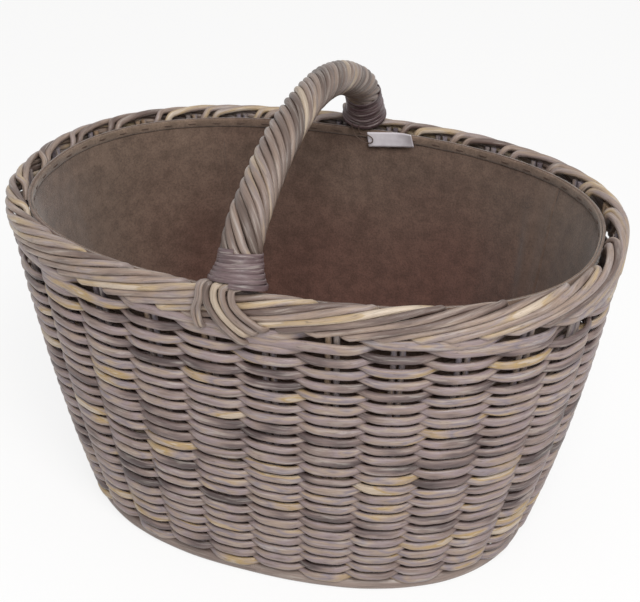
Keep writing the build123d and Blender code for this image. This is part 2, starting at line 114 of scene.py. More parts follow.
lamp = bpy.data.objects.new("soft_lamp", bpy.data.lights.new("soft_lamp", "AREA"))
lamp.data.shape = "DISK"
lamp.data.size = lamp_wide
lamp.data.energy = lamp_level
lamp.data.color = (1.0, 0.985, 0.97)
lamp.location = lamp_place
lamp.rotation_mode = "QUATERNION"
lamp.rotation_quaternion = (lamp_target - lamp_place).to_track_quat("-Z", "Y")
scene.collection.objects.link(lamp)

floor_work = bmesh.new()
bmesh.ops.create_grid(floor_work, x_segments=1, y_segments=1, size=floor_half)
floor_mesh = bpy.data.meshes.new("studio_floor")
floor_work.to_mesh(floor_mesh)
floor_work.free()
studio_floor = bpy.data.objects.new("studio_floor", floor_mesh)
scene.collection.objects.link(studio_floor)

floor_paper = bpy.data.materials.new("floor_paper")
floor_paper.use_nodes = True
floor_tree = floor_paper.node_tree
floor_tree.nodes.clear()
floor_matt = add_node(floor_tree, "BsdfDiffuse", {"Color": (floor_tone, floor_tone, floor_tone, 1.0)})
floor_glow = add_node(floor_tree, "Emission", {"Color": (1.0, 1.0, 1.0, 1.0)})
foot_scale = add_node(floor_tree, "VectorMath", {
    0: add_node(floor_tree, "TexCoord").outputs["Object"],
    1: (1 / dark_half_length, 1 / dark_half_width, 0.0),
}, operation="MULTIPLY")
foot_reach = add_node(floor_tree, "VectorMath", {0: foot_scale.outputs[0]}, operation="LENGTH")
beside_foot = maths(floor_tree, "GREATER_THAN", foot_reach.outputs["Value"], 1.0)
floor_seen = maths(floor_tree, "MULTIPLY", seen_straight(floor_tree), beside_foot)
floor_mix = add_node(floor_tree, "MixShader", {
    0: maths(floor_tree, "MULTIPLY", floor_seen, floor_level),
    1: floor_matt.outputs[0],
    2: floor_glow.outputs[0],
})
add_node(floor_tree, "OutputMaterial", {"Surface": floor_mix.outputs[0]})
floor_mesh.materials.append(floor_paper)


# Foot ring: one thick smooth cane, bent to the oval of the base and flat
# where it stands. It carries the stakes.
rim_half_length, rim_half_width, rim_height = 0.228, 0.151, 0.262
base_half_length, base_half_width = 0.178, 0.128
base_oval, rim_oval, belly = 2.35, 2.30, 0.144
rim_steps, stake_count = 720, 28
merge_reach = 1e-6
foot_height, foot_thick, foot_uneven = 0.0045, 0.010, 0.05
foot_steps, foot_sides = 8, 20


def signed_power(value, power):
    return copysign(abs(value) ** power, value)


def ripple(*place):
    """Smooth unevenness between minus one and one, always the same at the same place."""
    return noise.noise(Vector(place))


def ripple_round(turn, reach, up):
    """Unevenness that closes on itself round the basket, finer with a larger reach."""
    return ripple(reach * cos(turn), reach * sin(turn), up)


def wall_place(turn, height, outward=0.0):
    """A point so far outside the wall's middle line, the level way along it and the level way out."""
    share = height / rim_height
    spread = share + belly * 4 * share * (1 - share)
    half_length = base_half_length + (rim_half_length - base_half_length) * spread
    half_width = base_half_width + (rim_half_width - base_half_width) * spread
    oval = base_oval + (rim_oval - base_oval) * share
    x = half_length * signed_power(cos(turn), 2 / oval)
    y = half_width * signed_power(sin(turn), 2 / oval)
    out = Vector((
        signed_power(x / half_length, oval - 1) / half_length,
        signed_power(y / half_width, oval - 1) / half_width,
        0.0,
    )).normalized()
    return Vector((x, y, height)) + out * outward, Vector((-out.y, out.x, 0.0)), out


rim_table = [(-pi / 2, 0.0)]
for step in range(1, rim_steps + 1):
    turn = -pi / 2 + 2 * pi * step / rim_steps
    here = wall_place(turn, rim_height)[0]
    last = wall_place(rim_table[-1][0], rim_height)[0]
    rim_table.append((turn, rim_table[-1][1] + (here - last).length))
rim_length = rim_table[-1][1]
stake_spacing = rim_length / stake_count


def turn_at(run):
    """Angle at a run along the rim, counted from the front middle to the right."""
    laps = floor(run / rim_length)
    rest = run - laps * rim_length
    low, high = 0, len(rim_table) - 1
    while high - low > 1:
        middle = (low + high) // 2
        if rim_table[middle][1] <= rest:
            low = middle
        else:
            high = middle
    (turn_a, run_a), (turn_b, run_b) = rim_table[low], rim_table[high]
    return turn_a + (turn_b - turn_a) * (rest - run_a) / (run_b - run_a) + 2 * pi * laps


def new_work():
    """An empty mesh to lay canes in, with room for their runs and tones."""
    work = bmesh.new()
    work.verts.layers.float_vector.new("lay")
    work.verts.layers.float.new("tone")
    return work


def lay_cane(work, line, sides, tone, closed=False, floor_height=None):
    """Lays one cane. Each step of line has its middle, outward side, width and depth."""
    lay = work.verts.layers.float_vector["lay"]
    tones = work.verts.layers.float["tone"]
    rings, run = [], 17.0 * tone
    for index, (middle, outward, width, depth) in enumerate(line):
        before = line[index - 1][0] if index or closed else middle
        after = line[(index + 1) % len(line)][0] if index < len(line) - 1 or closed else middle
        way = (after - before).normalized()
        face = (outward - way * outward.dot(way)).normalized()
        if index:
            run += (middle - line[index - 1][0]).length
        rings.append((run, middle, way.cross(face) * (width / 2), face * (depth / 2)))
    if closed:
        rings.append((run + (line[0][0] - line[-1][0]).length, *rings[0][1:]))
    made = bmesh.ops.create_grid(work, x_segments=len(rings) - 1, y_segments=sides, size=1.0)["verts"]
    for number, vert in enumerate(made):
        run, middle, side, face = rings[number % len(rings)]
        turn = 2 * pi * (number // len(rings)) / sides - pi / 2
        place = middle + side * cos(turn) + face * sin(turn)
        if floor_height is not None:
            place.z = max(place.z, floor_height)
        vert.co = place
        vert[lay] = (run, cos(turn), sin(turn))
        vert[tones] = tone
    bmesh.ops.remove_doubles(work, verts=made, dist=merge_reach)


def hand_over(work, name, finish, slot, *nodes):
    """Closes the cut ends, turns the faces outward and sets the piece on its body."""
    open_edges = [edge for edge in work.edges if edge.is_boundary]
    caps = bmesh.ops.holes_fill(work, edges=open_edges, sides=0)["faces"] if open_edges else []
    bmesh.ops.recalc_face_normals(work, faces=work.faces)
    for face in work.faces:
        face.smooth = True
    for cap in caps:
        cap.smooth = False
        for edge in cap.edges:
            edge.smooth = False
    mesh = bpy.data.meshes.new(name)
    work.to_mesh(mesh)
    work.free()
    mesh.materials.append(finish)
    piece = bpy.data.objects.new(name, mesh)
    scene.collection.objects.link(piece)
    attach(piece, "root")
    if nodes:
        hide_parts(*nodes)
    return piece


def new_finish(name):
    """A material with its node tree and its shader."""
    material = bpy.data.materials.new(name)
    material.use_nodes = True
    return material, material.node_tree, material.node_tree.nodes["Principled BSDF"]


def grain_of(tree, place, scale, detail, rough=0.5):
    """Cloudy grain over a place or a run, as one number."""
    node = add_node(tree, "TexNoise", {"Vector": place, "Scale": scale, "Detail": detail, "Roughness": rough})
    return node.outputs["Fac"]


def colour_of(tree, value, stops):
    """The colour that a number stands for, between stops of a number and a colour."""
    node = add_node(tree, "ValToRGB", {0: value})
    while len(node.color_ramp.elements) < len(stops):
        node.color_ramp.elements.new(0.5)
    for element, (spot, colour) in zip(node.color_ramp.elements, stops):
        element.position = spot
        element.color = (*colour, 1.0)
    return node.outputs["Color"]


def mixed(tree, share, first, second, way="MIX"):
    """Two colours mixed by a share, or multiplied by it."""
    inputs = {
        socket: (*value, 1.0) if isinstance(value, tuple) else value
        for socket, value in ((0, share), (6, first), (7, second))
    }
    return add_node(tree, "Mix", inputs, data_type="RGBA", blend_type=way).outputs[2]


def surface(tree, shader, colour, height, strength, depth, roughness, specular):
    """Gives the shader its colour, its raised grain and its gloss."""
    tree.links.new(colour, shader.inputs["Base Color"])
    bump = add_node(tree, "Bump", {"Strength": strength, "Distance": depth, "Height": height})
    tree.links.new(bump.outputs[0], shader.inputs["Normal"])
    shader.inputs["Roughness"].default_value = roughness
    shader.inputs["Specular IOR Level"].default_value = specular


def grey(level):
    return level, level, level


def tint(red, green, blue):
    """A paint chip's eight-bit values as light."""
    return tuple((value / 255) ** 2.2 for value in (red, green, blue))


def cane_finish(name, tints, source="lay", along=75.0, across=4.5):
    """Weathered grey-washed cane: its tone by strand and by length, long fibres and washed patches."""
    material, tree, shader = new_finish(name)
    if source == "lay":
        run = add_node(tree, "Attribute", attribute_name="lay").outputs["Vector"]
        tone = add_node(tree, "Attribute", attribute_name="tone").outputs["Fac"]
    else:
        run = add_node(tree, "TexCoord").outputs["Object"]
        tone = grain_of(tree, run, 40.0, 2.0)

    def long_grain(along_share, across_scale, detail, rough=0.5):
        """Grain drawn out along the cane."""
        scales = (along * along_share, across_scale, across_scale)
        placed = add_node(tree, "VectorMath", {0: run, 1: scales}, operation="MULTIPLY")
        return grain_of(tree, placed.outputs[0], 1.0, detail, rough)

    # Tone of the strand, drifting along its length
    drift = maths(tree, "MULTIPLY", maths(tree, "ADD", long_grain(0.22, 0.25, 3.0), -0.5), 2.3)
    colour = colour_of(tree, maths(tree, "ADD", tone, drift, clamp=True), tints)
    # Long fibres, darker and lighter
    fibre = long_grain(1.0, across, 4.0, 0.62)
    streak = colour_of(tree, fibre, [
        (0.30, (0.62, 0.60, 0.58)), (0.50, grey(1.0)), (0.72, (1.16, 1.15, 1.13)),
    ])
    colour = mixed(tree, 0.85, colour, streak, "MULTIPLY")
    # Pale wash left on the skin in patches, and dark scuffs
    wash = colour_of(tree, long_grain(0.55, 1.3, 5.0, 0.6), [(0.54, grey(0.0)), (0.72, grey(0.4))])
    colour = mixed(tree, wash, colour, (0.56, 0.52, 0.47))
    scuff = colour_of(tree, long_grain(1.7, 1.8, 3.0, 0.7), [(0.30, grey(0.55)), (0.40, grey(0.0))])
    colour = mixed(tree, scuff, colour, (0.085, 0.060, 0.048))
    raised = maths(tree, "ADD", fibre, maths(tree, "MULTIPLY", scuff, -0.4))
    surface(tree, shader, colour, raised, strength=0.55, depth=0.0006, roughness=0.41, specular=0.55)
    return material


foot_cane = cane_finish("foot_cane", [
    (0.0, tint(100, 86, 81)), (0.5, tint(124, 109, 102)), (1.0, tint(142, 127, 118)),
], along=40.0, across=4.0)
foot_line = []
for step in range(stake_count * foot_steps):
    point, way, out = wall_place(turn_at(step * stake_spacing / foot_steps), foot_height)
    thick = foot_thick * (1 + foot_uneven * ripple_round(step * 0.07, 3, 1.7))
    foot_line.append((point, out, thick, thick))
work = new_work()
lay_cane(work, foot_line, foot_sides, 0.5, closed=True, floor_height=0.0)
hand_over(work, "foot_ring_cane", foot_cane, "foot_cane", "foot_ring")


# Base mat: straight sticks across the short way and thin rods woven through
# them. The solids have their real shape, so they only get their finish.
wall_tints = [
    (0.00, tint(72, 59, 58)),
    (0.16, tint(102, 87, 85)),
    (0.32, tint(130, 113, 106)),
    (0.46, tint(134, 119, 121)),
    (0.60, tint(146, 128, 115)),
    (0.72, tint(123, 112, 118)),
    (0.84, tint(152, 134, 121)),
    (0.95, tint(158, 132, 88)),
    (1.00, tint(172, 156, 138)),
]
base_cane = cane_finish("base_cane", wall_tints, source="place", along=60.0, across=300.0)


def finish_solid(node, finish):
    """Gives a solid that keeps its own shape its finish."""
    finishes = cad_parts[node].data.materials
    finishes.clear()
    finishes.append(finish)


finish_solid("base_sticks", base_cane)
finish_solid("base_weavers", base_cane)


# Stakes: pairs of upright rods that stand on the foot ring and end in the
# border. They show in the gaps between the weavers, mostly near the top.
foot_top, clearance = 0.0095, 0.0003
border_roll, roll_height = 0.0055, 0.258
stake_thick, pair_gap, stake_stop = 0.0044, 0.0014, 0.005
stake_low, stake_high = foot_top + clearance, roll_height + border_roll - stake_stop
stake_levels, stake_sides = 24, 10
stake_uneven, stake_drift = 0.05, 0.0005
stake_cane = cane_finish("stake_cane", [
    (0.0, tint(108, 99, 104)),
    (0.3, tint(146, 134, 128)),
    (0.55, tint(132, 125, 135)),
    (0.85, tint(158, 140, 127)),
    (1.0, tint(154, 130, 108)),
])
work = new_work()
dice = Random(11)
for number in range(stake_count):
    for side in (-1, 1):
        shift = side * (stake_thick + pair_gap) / 2
        line = []
        for level in range(stake_levels + 1):
            height = stake_low + (stake_high - stake_low) * level / stake_levels
            point, way, out = wall_place(turn_at((number + 0.5) * stake_spacing), height)
            lean = stake_drift * ripple(number * 3.1, side * 5.0, height * 14)
            thick = stake_thick * (1 + stake_uneven * ripple(number * 1.7, side, height * 30))
            line.append((point + way * (shift + lean), out, thick, thick))
        lay_cane(work, line, stake_sides, dice.random())
hand_over(work, "stake_rods", stake_cane, "stake_cane", "stakes")


# Weavers: one cane to each row, in front of one pair of stakes and behind the
# next, ends butted inside. Each swells where it bends round the outside. The
# top rows are the wale, which is thicker and goes behind one pair in three.
weaver_thick, weaver_sides, wale_girth = 0.0044, 12, 1.14
border_thick, border_side = 0.0045, 0.014
border_bottom = roll_height - border_side - border_thick / 2
first_row = foot_top + clearance + weaver_thick / 2
last_row = border_bottom - clearance - weaver_thick / 2
row_count, wale_rows, top_looseness = 48, 2, 0.03
weaver_slant, bend_sharpness = radians(18), 1.22
weaver_wide, outside_swell, crossing_swell, outside_flat = 1.06, 0.53, 0.20, 0.06
swing_uneven, width_drift, width_lumps, weaver_roll = 0.06, 0.08, 0.13, 0.10
weave_swing = (stake_thick + weaver_thick) / 2 / cos(weaver_slant) + clearance
steps_per_stake, butt_gap = 12, 0.0015
row_wander, row_slack, settled_height = 0.0011, 0.0007, 0.03
wall_cane = cane_finish("wall_cane", wall_tints)


def row_height(row):
    """Rows lie close at the foot and get looser just below the border."""
    share = row / (row_count - 1)
    return first_row + (last_row - first_row) * ((1 - top_looseness) * share + top_looseness * share ** 12)


def wall_unrest(turn, height):
    """How far the hand-woven rows wander from level, alike for rows that touch."""
    near_foot = min(1.0, max(0.0, (height - first_row) / settled_height))
    return near_foot * row_wander * ripple_round(turn, 3.0, height * 22)


def weaver_line(row, repeat, row_girth, dice):
    """The line of one row, which goes behind one pair in every so many."""
    height = row_height(row)
    start = 5 * row
    while (start % stake_count + row) % repeat:
        start += 1
    girth = dice.uniform(0.90, 1.07) * row_girth
    seed = dice.uniform(0, 90)
    slack = row_slack * min(1.0, row / 3)
    line = []
    for step in range(stake_count * steps_per_stake + 1):
        run_share = start + step / steps_per_stake
        stake = floor(run_share)
        sway = [-1.0 if (n % stake_count + row) % repeat == 0 else 1.0 for n in (stake, stake + 1)]
        wave = cos(pi * min(1.0, max(0.0, (run_share - stake - 0.5) * bend_sharpness + 0.5)))
        swing = sway[0] + (sway[1] - sway[0]) * (1 - 1.3 * wave + 0.3 * wave ** 3) / 2
        run = (run_share + 0.5) * stake_spacing
        if step == 0:
            run += butt_gap / 2
        if step == stake_count * steps_per_stake:
            run -= butt_gap / 2
        turn = turn_at(run)
        flow = ripple(run * 9 + seed, seed, 0.0)
        lump = ripple(run * 31, seed, 6.0)
        level = height + wall_unrest(turn, height) + slack * ripple(run * 24, seed, 3.0)
        point, way, out = wall_place(turn, level, swing * weave_swing * (1 + swing_uneven * flow))
        bulge, middle = max(0.0, swing), 1 - min(1.0, abs(swing))
        wide = weaver_thick * (weaver_wide + outside_swell * bulge + crossing_swell * middle)
        wide = wide * girth * (1 + width_drift * flow + width_lumps * lump)
        deep = weaver_thick * (1.0 - outside_flat * bulge)
        line.append((point, out + Vector((0, 0, weaver_roll * ripple(run * 20, seed, 9.0))), wide, deep))
    return line


dice = Random(23)
for first in range(0, row_count - wale_rows, 2):
    work = new_work()
    for row in (first, first + 1):
        lay_cane(work, weaver_line(row, 2, 1.0, dice), weaver_sides, 0.15 + 0.7 * dice.random())
    number = first // 2 + 1
    hand_over(work, f"weaver_round_{number:02d}", wall_cane, "wall_cane", f"weave_round_{number:02d}")
work = new_work()
for row in range(row_count - wale_rows, row_count):
    lay_cane(work, weaver_line(row, 3, wale_girth, dice), weaver_sides, 0.2 + 0.6 * dice.random())
hand_over(work, "wale_weavers", wall_cane, "wall_cane", "upper_wale")


# Rolled border: two rods from each pair of stakes climb the outside at a low
# slant, roll over the rim and dive down behind it.
border_tail, rod_gap, dive_gap = 0.008, 0.0006, 0.0055
border_length = border_side + pi * border_roll + border_tail
border_climb = 2 * (border_thick + rod_gap)
climb_slope, dive_slope = atan(border_climb / stake_spacing), radians(58)
late_dive = border_side + radians(100) * border_roll
dives = [late_dive + (stake_spacing / 2 - dive_gap) * tan(climb_slope), late_dive]
bend_radius, bend_turn = 0.008, dive_slope - climb_slope
rod_start, rod_steps, rod_sides = 0.0015, 72, 12
rod_shift, rod_wander, rod_proud, rod_lift, dive_shift = 0.0014, 0.0012, 0.0006, 0.0003, 0.0008
lead_steps, lead_runs = 5, (0.009, 0.005)
lead_height, lead_rise, lead_inside, lead_outward = 0.2438, 0.0004, 0.0005, 0.006
lead_ease, rod_wide, rod_deep = 0.7, 1.10, 1.02
border_cane = cane_finish("border_cane", [
    (0.00, tint(96, 80, 74)),
    (0.22, tint(128, 111, 102)),
    (0.42, tint(146, 127, 114)),
    (0.58, tint(138, 124, 122)),
    (0.76, tint(156, 137, 118)),
    (0.92, tint(170, 148, 116)),
    (1.00, tint(184, 168, 150)),
])


def border_path(length, dive):
    """Run along the rim and climb round the roll of a rod that climbs low, then dives."""
    climbing = dive / sin(climb_slope) - bend_radius * tan(bend_turn / 2)
    bending = bend_radius * bend_turn
    run = min(length, climbing) * cos(climb_slope)
    climbed = min(length, climbing) * sin(climb_slope)
    turned = min(max(0.0, length - climbing), bending) / bend_radius
    run += bend_radius * (sin(climb_slope + turned) - sin(climb_slope))
    climbed += bend_radius * (cos(climb_slope) - cos(climb_slope + turned))
    diving = max(0.0, length - climbing - bending)
    return run + diving * cos(dive_slope), climbed + diving * sin(dive_slope)


def border_rod_length(dive):
    """Length of a rod from its start on the outside to its tip behind the rim."""
    climbing = dive / sin(climb_slope) - bend_radius * tan(bend_turn / 2)
    bend_climb = bend_radius * (cos(climb_slope) - cos(dive_slope))
    diving = (border_length - climbing * sin(climb_slope) - bend_climb) / sin(dive_slope)
    return climbing + bend_radius * bend_turn + diving


def border_place(start_run, length, dive, proud):
    """Point and outward side of a border rod at a length along it."""
    run, climbed = border_path(length, dive)
    over = climbed - border_side
    turn = turn_at(start_run + run)
    heart, way, out = wall_place(turn, roll_height)
    if over < 0:
        return wall_place(turn, roll_height + over, border_roll + proud)[0], out
    if over < pi * border_roll:
        angle = over / border_roll
        side = out * cos(angle) + Vector((0, 0, sin(angle)))
        return heart + side * (border_roll + proud), side
    return wall_place(turn, roll_height + pi * border_roll - over, -border_roll - proud)[0], -out


work = new_work()
dice = Random(5)
for number in range(stake_count * 2):
    start_run = (number + 0.5) * stake_spacing / 2 + dice.uniform(-rod_shift, rod_shift)
    girth, proud = dice.uniform(0.95, 1.12), dice.uniform(0.0, rod_proud)
    dive = dives[number % 2] + dice.uniform(-dive_shift, dive_shift)
    seed = dice.uniform(0, 50)
    rod_length = border_rod_length(dive)
    line = []
    for step in range(lead_steps):
        ease = step / lead_steps
        turn = turn_at(start_run - lead_runs[number % 2] * (1 - ease))
        outward = -lead_inside + lead_outward * ease ** lead_ease
        point, way, out = wall_place(turn, lead_height + lead_rise * ease, outward)
        line.append((point, out, border_thick * girth, border_thick * girth))
    for step in range(rod_steps + 1):
        length = rod_start + (rod_length - rod_start) * step / rod_steps
        wander = ripple(length * 22 + seed, seed, 0.0)
        point, side = border_place(start_run + rod_wander * wander, length, dive, proud + rod_lift * wander)
        line.append((point, side, border_thick * rod_wide * girth, border_thick * rod_deep * girth))
    lay_cane(work, line, rod_sides, dice.random())
hand_over(work, "border_canes", border_cane, "border_cane", "border_rods")


# Handle core: the thick bent cane inside the handle. The strands hide all of
# it but its two ends, so the solid stays and only gets its finish.
finish_solid("handle_core", cane_finish("core_cane", [
    (0.0, tint(84, 70, 60)), (1.0, tint(120, 102, 86)),
], source="place", along=300.0, across=60.0))


# Handle strands: ten split canes laid side by side round the core in one
# long twist, a little slimmer over the top of the bow than at its feet.
leg_rise, leg_lean = 0.028, radians(25)
shoulder_in, shoulder_rise, shoulder_slope = 0.048, 0.0545, radians(27.8)
bow_rise, arch_steps = 0.0796, 61
handle_thick, handle_lay, core_radius, core_gap = 0.0044, 0.097, 0.0078, 0.0005
strand_count, strand_ring = 10, core_radius + core_gap + handle_thick / 2
strand_foot, strand_steps, strand_sides = 0.0215, 128, 14
lay_ring, lay_slimming, lay_wander, strand_deep = 0.0122, 0.0023, 0.0003, 0.0050
strand_fill, strand_uneven = 0.99, 0.05
foot_point = Vector((0.0, -rim_half_width, rim_height))
leg_way = Vector((0.0, sin(leg_lean), cos(leg_lean)))
leg_end = foot_point + leg_way * (leg_rise / cos(leg_lean))
shoulder = Vector((0.0, shoulder_in - rim_half_width, rim_height + shoulder_rise))
shoulder_way = Vector((0.0, cos(shoulder_slope), sin(shoulder_slope)))
apex = Vector((0.0, 0.0, rim_height + bow_rise))
handle_cane = cane_finish("handle_cane", [
    (0.00, tint(88, 74, 67)),
    (0.25, tint(114, 98, 90)),
    (0.50, tint(130, 113, 102)),
    (0.70, tint(122, 109, 105)),
    (0.85, tint(144, 126, 109)),
    (1.00, tint(164, 148, 130)),
], along=60.0, across=4.0)


def arch(start, start_way, end, end_way):
    """A near-circular bend between two points."""
    angle = start_way.angle(end_way)
    reach = (end - start).length / (3 * cos(angle / 4) ** 2)
    near_start, near_end = start + start_way * reach, end - end_way * reach
    return geometry.interpolate_bezier(start, near_start, near_end, end, arch_steps)


front_half = [foot_point] + arch(leg_end, leg_way, shoulder, shoulder_way)
front_half += arch(shoulder, shoulder_way, apex, Vector((0.0, 1.0, 0.0)))[1:]
bow_points = front_half + [Vector((0.0, -point.y, point.z)) for point in reversed(front_half[:-1])]
bow_runs = [0.0]
for before, after in zip(bow_points, bow_points[1:]):
    bow_runs.append(bow_runs[-1] + (after - before).length)
bow_length = bow_runs[-1]


def bow_place(run):
    """Point, outward direction and forward direction on the bow."""
    index = next((n for n in range(1, len(bow_runs)) if bow_runs[n] >= run), len(bow_runs) - 1)
    before, after = bow_points[index - 1], bow_points[index]
    share = (run - bow_runs[index - 1]) / (bow_runs[index] - bow_runs[index - 1])
    way = (after - before).normalized()
    if 1 < index < len(bow_points) - 1:
        ahead = (bow_points[index + 1] - before).normalized()
        back = (after - bow_points[index - 2]).normalized()
        way = (back * (1 - share) + ahead * share).normalized()
    return before.lerp(after, share), Vector((0.0, -way.z, way.y)), way


def on_bow(run, angle, side_radius, out_radius):
    """A point beside the bow and its outward side, the angle counted from outside to the right."""
    point, outward, way = bow_place(run)
    side = outward * cos(angle) + Vector((sin(angle), 0.0, 0.0))
    place = point + outward * (out_radius * cos(angle)) + Vector((side_radius * sin(angle), 0.0, 0.0))
    return place, side


dice = Random(31)
for number in range(strand_count):
    work = new_work()
    girth, seed = dice.uniform(0.95, 1.06), dice.uniform(0, 50)
    line = []
    for step in range(strand_steps + 1):
        run = strand_foot + (bow_length - 2 * strand_foot) * step / strand_steps
        angle = 2 * pi * number / strand_count - 2 * pi * run / handle_lay
        middle_share = 1 - abs(2 * run / bow_length - 1)
        wander = ripple(run * 30 + seed, seed, 0.0)
        ring = lay_ring - lay_slimming * middle_share + lay_wander * wander
        point, side = on_bow(run, angle + strand_uneven * wander, ring, ring)
        slant = hypot(1.0, 2 * pi * ring / handle_lay)
        wide = 2 * pi * ring / strand_count / slant * strand_fill * girth * (1 + strand_uneven * wander)
        line.append((point, side, wide, strand_deep))
    lay_cane(work, line, strand_sides, dice.random())
    hand_over(work, f"handle_cane_{number + 1}", handle_cane, "handle_cane", f"handle_strand_{number + 1}")


# Bindings: one long cane peel wound round each foot of the handle. It spreads
# at the bottom, where the strands' tails come out.
peel_thick, peel_pitch, peel_start = 0.0026, 0.0031, 0.0072
peel_wide, peel_deep, peel_steps, peel_sides = 0.0042, 0.0018, 28, 10
peel_flare, peel_lift, peel_slope, peel_jolt = 0.0066, 0.0014, 0.0010, 0.0007
peel_wander_side, peel_wander_out, flared_turns = 0.0006, 0.0007, 7
peel_wide_uneven, peel_deep_uneven = 0.25, 0.15
peel_ring = strand_ring + (handle_thick + peel_thick) / 2 + clearance
binding_peel = cane_finish("binding_peel", [
    (0.0, tint(62, 48, 50)), (0.4, tint(88, 71, 73)), (0.75, tint(100, 83, 85)), (1.0, tint(122, 105, 104)),
], along=110.0, across=2.2)


def binding_line(turn_count, right_flare):
    """The peel's line round a foot, drawn at the front one: pulled unevenly and a little aslant."""
    line = []
    for step in range(turn_count * peel_steps + 1):
        turns = step / peel_steps
        angle = 2 * pi * turns
        spread = max(0.0, 1 - turns / flared_turns) ** 2
        wander, jolt = ripple(turns * 1.3, 4.0, 0.0), ripple(turns * 3.7, 9.0, 2.0)
        run = peel_start + peel_pitch * turns + (peel_jolt * jolt + peel_slope * sin(angle)) * (1 - spread)
        flare = peel_flare * spread * (right_flare if sin(angle) > 0 else 1.0) + peel_wander_side * wander
        out_radius = peel_ring + peel_lift * spread + peel_wander_out * wander
        point, side = on_bow(run, angle, peel_ring + flare, out_radius)
        wide = peel_wide * (1 + peel_wide_uneven * wander)
        line.append((point, side, wide, peel_deep * (1 + peel_deep_uneven * jolt)))
    return line


for name, node, flip, turn_count, right_flare in (
    ("binding_front", "front_binding", 1, 7, 1.0),
    ("binding_back", "back_binding", -1, 9, 0.3),
):
    work = new_work()
    turned = Vector((1, flip, 1))
    line = [
        (point * turned, side * turned, wide, deep)
        for point, side, wide, deep in binding_line(turn_count, right_flare)
    ]
    lay_cane(work, line, peel_sides, 0.45 + 0.1 * flip)
    hand_over(work, name, binding_peel, "binding_peel", node)


# Tails: the ends of the handle's strands, laid over the border and tucked in
# between the weavers. Four fan out to one side, and two thin ones loop to the
# other. Each has its angle, its reach over the rim, its girth and its places.
border_top = roll_height + border_roll + border_thick / 2
border_face = border_roll + border_thick / 2
tail_thick, tail_wide, tail_sides, tail_steps = 0.0044, 0.0052, 12, 10
tail_off = border_face + clearance + tail_thick / 2
tail_top_run, tail_foot_run, tail_spread = 0.0165, 0.0078, 0.0008
crest_gap, crest_share, crest_drop, crest_inward, crest_tilt = 0.001, 0.38, 0.004, 0.95, 0.5
tuck_share, tuck_depth, tail_flat = 0.35, 0.0046, 0.9
tail_shares = [
    (-0.18, 0.62, 0.95, [(-0.38, 0.84), (-0.30, 0.42), (-0.13, 0.0), (0.11, -0.38)]),
    (-0.09, 0.80, 0.95, [(-0.25, 0.84), (-0.15, 0.42), (0.03, 0.06), (0.19, -0.12)]),
    (0.00, 0.85, 0.95, [(-0.11, 0.84), (-0.01, 0.46), (0.16, 0.16), (0.33, 0.0)]),
    (0.10, 0.78, 0.95, [(0.03, 0.84), (0.13, 0.56), (0.29, 0.32), (0.47, 0.13)]),
    (-0.27, 0.50, 0.60, [(-0.52, 0.84), (-0.60, 0.40), (-0.56, -0.07)]),
    (-0.24, 0.50, 0.60, [(-0.46, 0.84), (-0.52, 0.42), (-0.49, -0.02)]),
]


def rim_place(run_share, height_share, outward):
    """A point on the border, by shares of a stake's spacing and of the border's height."""
    height = border_bottom + (border_top - border_bottom) * height_share
    return wall_place(turn_at(run_share * stake_spacing), height, outward)[0]


def flowing(points, steps):
    """Points of a smooth line through the given ones."""
    ends = [points[0] * 2 - points[1], *points, points[-1] * 2 - points[-2]]
    line = []
    for index in range(1, len(ends) - 2):
        a, b, c, d = ends[index - 1:index + 3]
        for step in range(steps):
            t = step / steps
            line.append((b * 2 + (c - a) * t + (a * 2 - b * 5 + c * 4 - d) * t ** 2
                         + (b * 3 - a - c * 3 + d) * t ** 3) / 2)
    return line + [points[-1]]


def tail_line(angle_share, out_share, girth, places):
    """One tail of the front foot, from under the binding to its tuck in the wall."""
    angle, ring = 2 * pi * angle_share, strand_ring + clearance
    (first_run, first_height), (run_a, height_a), (run_b, height_b) = places[0], *places[-2:]
    points = [
        on_bow(tail_top_run, angle, ring, ring)[0],
        on_bow(tail_foot_run, angle, ring + tail_spread, ring + tail_spread)[0],
        rim_place(first_run * crest_inward, first_height + crest_share, tail_off * out_share + crest_gap),
    ]
    points += [rim_place(run, height, tail_off) for run, height in places]
    tuck_run = run_b + tuck_share * (run_b - run_a)
    tuck_height = height_b + tuck_share * (height_b - height_a)
    points.append(rim_place(tuck_run, tuck_height, tail_off - tuck_depth))
    line = []
    for place in flowing(points, tail_steps):
        out = wall_place(turn_at(place.x), roll_height)[2]
        if place.z > border_top - crest_drop:
            out = (out + Vector((0, 0, crest_tilt))).normalized()
        line.append((place, out, tail_wide * girth, tail_thick * tail_flat))
    return line


for name, node, flip in (("tails_front", "front_tails", 1), ("tails_back", "back_tails", -1)):
    work = new_work()
    dice = Random(40 + flip)
    turned = Vector((1, flip, 1))
    for angle_share, out_share, girth, places in tail_shares:
        line = tail_line(angle_share, out_share, girth + dice.uniform(0.0, 0.1), places)
        line = [(point * turned, side * turned, wide, deep) for point, side, wide, deep in line]
        lay_cane(work, line, tail_sides, dice.random())
    hand_over(work, name, handle_cane, "handle_cane", node)


